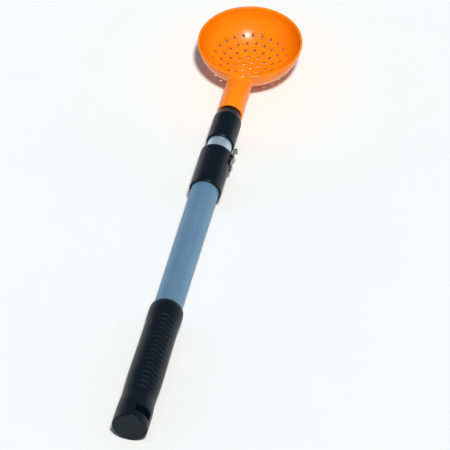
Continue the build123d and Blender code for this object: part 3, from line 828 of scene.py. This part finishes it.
class PICKER_OT_grip(bpy.types.Operator):
    """Grip: waisted rubber with a rounded shoulder, ribs on top and a hanging slot through the butt"""
    bl_idname = "picker.grip"
    bl_label = "Grip"

    def execute(self, context):
        sizes = context.scene.picker_grip
        start, butt, _, butt_radius = reach("grip")
        tube_radius = reach("outer_tube")[3] + FIT
        bore_end = reach("tube_plug")[1]

        # Radii at the places that shape the grip, with level runs at each
        stations = np.array((
            start + sizes.shoulder, start + sizes.waist,
            butt - sizes.bulge, butt - sizes.neck, butt - sizes.band))
        radii = tube_radius + np.array((
            sizes.top_wall, sizes.waist_wall, sizes.bulge_wall, sizes.neck_wall, 0.0))
        radii[-1] = butt_radius

        def body_radius(station):
            """Smooth steps from place to place, and a quarter ellipse for the shoulder."""
            index = np.clip(np.searchsorted(stations, station) - 1, 0, len(stations) - 2)
            share = smooth((station - stations[index]) / (stations[index + 1] - stations[index]))
            radius = radii[index] + share * (radii[index + 1] - radii[index])
            mouth = tube_radius + sizes.mouth_wall
            before = np.clip(1 - (station - start) / sizes.shoulder, 0, 1)
            return np.where(before > 0, mouth + (radius - mouth) * np.sqrt(1 - before ** 2), radius)

        def groove(station, turn):
            """Sum of rounded troughs along the grip, faded out round it: cos^2 across each trough."""
            across = np.abs((station - start - sizes.first_rib + sizes.rib_pitch / 2) % sizes.rib_pitch
                            - sizes.rib_pitch / 2)
            number = (station - start - sizes.first_rib) / sizes.rib_pitch
            inside = (number > -0.5) & (number < sizes.rib_count - 0.5)
            fade_from, fade = -0.16, 0.22
            trough = np.cos(np.clip(across / sizes.groove_width, 0, 0.5) * np.pi) ** 2
            away = np.abs((turn - sizes.rib_turn + np.pi) % (2 * np.pi) - np.pi)
            return inside * trough * (1 - smooth((away - sizes.rib_span / 2 - fade_from) / fade))

        # Rows of stations: fine on the shoulder and ribs, exact at the slot's window, which is as
        # wide as window_columns on each side of the slot's middle
        window_rows, window_columns = 15, 28
        slot_station = butt - sizes.slot_to_butt
        half_width, half_length = sizes.slot_width / 2, sizes.slot_length / 2
        window = half_length + 2.4 * MM
        shoulder_rows = start + sizes.shoulder * (1 - np.cos(np.linspace(0.03, np.pi / 2, 16)))
        rib_end = start + sizes.first_rib + sizes.rib_count * sizes.rib_pitch
        rows = np.concatenate([
            shoulder_rows,
            np.arange(shoulder_rows[-1] + 0.8 * MM, rib_end, 0.5 * MM),
            np.linspace(rib_end, slot_station - window, 42)[1:],
            np.linspace(slot_station - window, slot_station + window, window_rows)[1:],
        ])
        turn = sizes.slot_turn + np.linspace(0, 2 * np.pi, GRIP_COLUMNS, endpoint=False)
        grid_station, grid_turn = rows[:, None], turn[None, :]
        grid_radius = body_radius(grid_station) - sizes.groove_depth * groove(grid_station, grid_turn)
        body_points = pole.point(grid_station, grid_radius, grid_turn)

        # The window's faces give way to a pierced patch on each side
        body_faces = quads(len(rows), GRIP_COLUMNS)
        first_row = len(rows) - window_rows
        cut = np.zeros(body_faces.shape[:2], bool)
        near = (np.arange(GRIP_COLUMNS) + window_columns) % GRIP_COLUMNS < 2 * window_columns
        cut[first_row:] = near | np.roll(near, GRIP_COLUMNS // 2)
        body_faces = body_faces[~cut].reshape(-1, 4)

        # Mouth, bore and butt close it
        mouth = tube_radius + sizes.mouth_wall
        front = rounded([
            (0, bore_end, 0), (tube_radius, bore_end, 0), (tube_radius, start, 0.2 * MM),
            (mouth, start, 0.2 * MM), (mouth + 0.3 * MM, start + 0.02 * MM, 0),
        ])[:-1]
        front_points = pole.point(front[:, 1:2], front[:, 0:1], grid_turn)
        front_points = np.concatenate([front_points, body_points[:1]])
        back = rounded([
            (butt_radius, rows[-1], 0), (butt_radius, butt, sizes.butt_round),
            (butt_radius - 3 * MM, butt, 0), (0, butt, 0),
        ])
        back_points = pole.point(back[:, 1:2], back[:, 0:1], grid_turn)

        # Pierced patches over the slot, as heights above the plane across its direction
        def from_slot(points):
            """Signed distance from a rounded rectangle."""
            offset = np.abs(points - np.array((0, slot_station))) - (
                np.array((half_width, half_length)) - sizes.slot_corner)
            outside = np.linalg.norm(np.maximum(offset, 0), axis=-1)
            return outside + np.minimum(offset.max(-1), 0) - sizes.slot_corner

        step = np.linspace(-window_columns, window_columns, 2 * window_columns + 1)
        angle = step * 2 * np.pi / GRIP_COLUMNS
        across = butt_radius * np.sin(angle)
        grid = np.stack(np.meshgrid(across, rows[first_row:], indexing="ij"), -1)
        edge = np.zeros(grid.shape[:2], bool)
        edge[[0, -1]] = True
        edge[:, [0, -1]] = True
        grid, edge = grid.reshape(-1, 2), edge.reshape(-1)
        grid = grid[edge | (from_slot(grid) > sizes.slot_round + 0.45 * MM)]
        arc = np.linspace(0, np.pi / 2, 5)
        offsets = [*(sizes.slot_round * (1 - np.cos(arc))), sizes.slot_round + 0.2 * MM]
        loops = [slot_loop(half_width, half_length, sizes.slot_corner, offset) + np.array((0, slot_station))
                 for offset in offsets]
        flat, faces = pierced(np.concatenate([grid, *loops[1:]]), loops[:1], from_slot)
        out_way = math.cos(sizes.slot_turn) * pole.top + math.sin(sizes.slot_turn) * pole.side
        wide_way = math.cos(sizes.slot_turn) * pole.side - math.sin(sizes.slot_turn) * pole.top

        def place(points, height):
            """Points (across, station) at a height over the plane across the slot's direction."""
            return (pole.origin + points[:, 1:2] * pole.along + points[:, 0:1] * wide_way
                    + height[:, None] * out_way)

        height = np.sqrt(butt_radius ** 2 - flat[:, 0] ** 2) - edge_drop(from_slot(flat), sizes.slot_round)
        patches = [(place(flat, sign * height), faces.tolist()) for sign in (1, -1)]
        top = np.sqrt(butt_radius ** 2 - loops[0][:, 0] ** 2) - sizes.slot_round
        slot_walls = sheet(np.stack([place(loops[0], top * share) for share in np.linspace(1, -1, 9)]))
        body = (body_points.reshape(-1, 3), body_faces.tolist())
        add_piece(
            "rubber_grip", [body, sheet(front_points), sheet(back_points), *patches, slot_walls],
            "grip_rubber", "handle", "grip")
        return {"FINISHED"}


# ---------------------------------------------------------------- stage

class PICKER_OT_stage(bpy.types.Operator):
    """Stage: a pale floor, soft light from above the viewer's shoulder, and the camera"""
    bl_idname = "picker.stage"
    bl_label = "Stage"

    def execute(self, context):
        scene = context.scene
        scene.view_settings.view_transform = "Standard"
        # Floor: level out to the flat radius, then rising in a cove that hides the horizon
        flat_radius, cove_radius, cove_sweep = 12.0, 8.0, math.radians(60)
        floor_mesh = bpy.data.meshes.new("floor")
        ground = AxisFrame((0, 0, 0), (0, 0, 1), (0, 1, 0), (1, 0, 0))
        rise = np.linspace(0, cove_sweep, 24)
        cove = np.column_stack([
            flat_radius + cove_radius * np.sin(rise), cove_radius - cove_radius * np.cos(rise)])
        outline = np.concatenate([[(0.0, 0.0), (2.0, 0.0)], cove])
        points, faces = turned(ground, outline, 96, False)
        floor_mesh.from_pydata(points.tolist(), [], faces)
        floor_mesh.shade_smooth()
        finish = Finish("floor")
        specks = finish.noise(9.0, 3.0)
        tint = tuple(scene.picker_colours.floor)
        floor_mesh.materials.append(finish.surface(
            Base_Color=finish.mix(specks, tint, tuple(0.985 * c for c in tint)), Roughness=0.9))
        floor = bpy.data.objects.new("floor", floor_mesh)
        scene.collection.objects.link(floor)

        world = bpy.data.worlds.new("studio")
        world.use_nodes = True
        sky = world.node_tree.nodes["Background"].inputs
        sky["Color"].default_value = (0.55, 0.78, 1.0, 1.0)
        sky["Strength"].default_value = 0.24
        scene.world = world

        self.sun("key", way=(0.20, -0.44, 0.875), strength=3.4, width=7.0, tint=(1.0, 0.97, 0.92))

        # Camera: from in front, a little to the right and well above, through a very long lens
        turn, tilt = math.radians(12.6), math.radians(44.4)
        distance, aim_left, aim_down = 5.611, 25.6 * MM, 187.5 * MM
        right = Vector((math.cos(turn), math.sin(turn), 0))
        up = Vector((-math.sin(turn) * math.sin(tilt), math.cos(turn) * math.sin(tilt), math.cos(tilt)))
        back = right.cross(up)
        rim_middle = Vector((*bowl.origin[:2], rim_height))
        aim = rim_middle - right * aim_left - up * aim_down
        data = bpy.data.cameras.new("camera")
        data.lens, data.sensor_width = 440.0, 36.0
        data.clip_start, data.clip_end = 0.1, 100.0
        camera = bpy.data.objects.new("camera", data)
        facing = Matrix((right, up, back)).transposed().to_4x4()
        camera.matrix_world = Matrix.Translation(aim + back * distance) @ facing
        scene.collection.objects.link(camera)
        scene.camera = camera
        return {"FINISHED"}

    def sun(self, name, way, strength, width, tint):
        """A distant light from a direction, its disc as wide as given in degrees."""
        data = bpy.data.lights.new(name, "SUN")
        data.energy, data.angle, data.color = strength, math.radians(width), tint
        light = bpy.data.objects.new(name, data)
        light.rotation_mode = "QUATERNION"
        light.rotation_quaternion = Vector(way).to_track_quat("Z", "Y")
        bpy.context.scene.collection.objects.link(light)


# ---------------------------------------------------------------- panel and start

class PICKER_PT_panel(bpy.types.Panel):
    """Builds the picker piece by piece"""
    bl_idname = "PICKER_PT_panel"
    bl_label = "Fruit picker basket"
    bl_space_type = "VIEW_3D"
    bl_region_type = "UI"
    bl_category = "Picker"

    def draw(self, context):
        for operator in OPERATORS:
            self.layout.operator(operator.bl_idname)
        for group in GROUPS:
            box = self.layout.box()
            for key in group.__annotations__:
                box.prop(getattr(context.scene, GROUPS[group]), key)


GROUPS = {
    PickerBowlSizes: "picker_bowl", PickerPoleSizes: "picker_pole",
    PickerGripSizes: "picker_grip", PickerColours: "picker_colours",
}
OPERATORS = (
    PICKER_OT_bowl, PICKER_OT_socket, PICKER_OT_connector, PICKER_OT_tubes, PICKER_OT_lock,
    PICKER_OT_small_parts, PICKER_OT_grip, PICKER_OT_stage,
)


def register():
    """Registers the classes and hangs the sizes and colours on the scene."""
    for group, name in GROUPS.items():
        bpy.utils.register_class(group)
        setattr(bpy.types.Scene, name, bpy.props.PointerProperty(type=group))
    for item in (*OPERATORS, PICKER_PT_panel):
        bpy.utils.register_class(item)


def unregister():
    """Takes them off again, in the opposite order."""
    for item in (PICKER_PT_panel, *reversed(OPERATORS)):
        bpy.utils.unregister_class(item)
    for group, name in reversed(GROUPS.items()):
        delattr(bpy.types.Scene, name)
        bpy.utils.unregister_class(group)


def main():
    """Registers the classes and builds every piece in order."""
    register()
    for operator in OPERATORS:
        group, name = operator.bl_idname.split(".")
        getattr(getattr(bpy.ops, group), name)()


if __name__ == "__main__":
    main()
